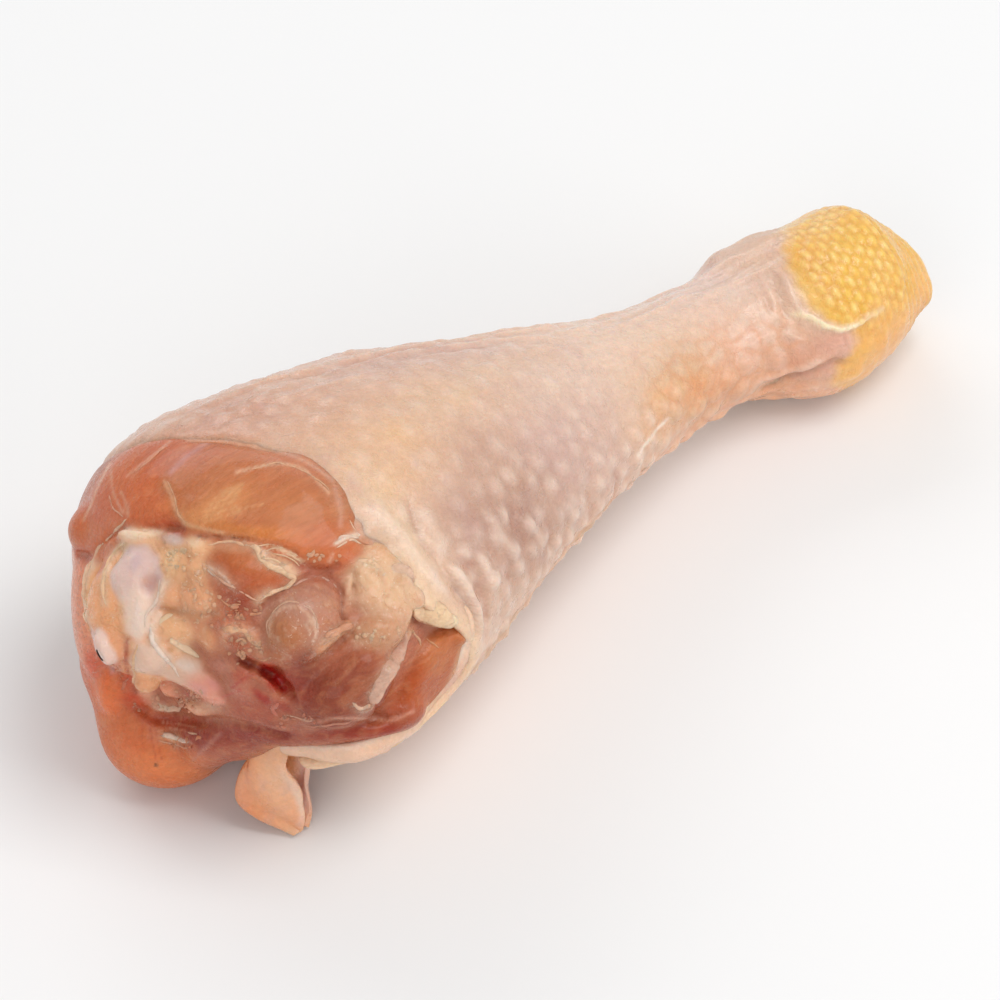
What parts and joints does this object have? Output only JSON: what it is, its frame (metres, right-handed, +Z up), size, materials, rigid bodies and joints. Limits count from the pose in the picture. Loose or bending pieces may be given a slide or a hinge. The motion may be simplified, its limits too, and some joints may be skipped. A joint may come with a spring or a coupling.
{
  "type": "raw chicken drumstick",
  "caption": "Raw poultry lower leg lying on its side: skin sleeve cut open at the knee, exposed muscle, fat and gristle, and a scaly yellow hock end.",
  "frame": {"origin": "middle of the flat spot under the calf on which the drumstick rests", "axes": "+X runs along the leg from the knee cut to the hock, +Z up, the knee cut is turned towards -Y"},
  "size_m": [0.1487, 0.0602, 0.0531],
  "materials": {
    "skin": "moist, dimpled raw skin, yellow and scaly at the hock",
    "meat": "wet raw muscle with fat and membranes",
    "gristle": "wet bluish-white joint gristle over bone"
  },
  "bodies": {
    "root": {"skin": "skin", "meat": "meat", "shinbone": "gristle"}
  },
  "joints": []
}
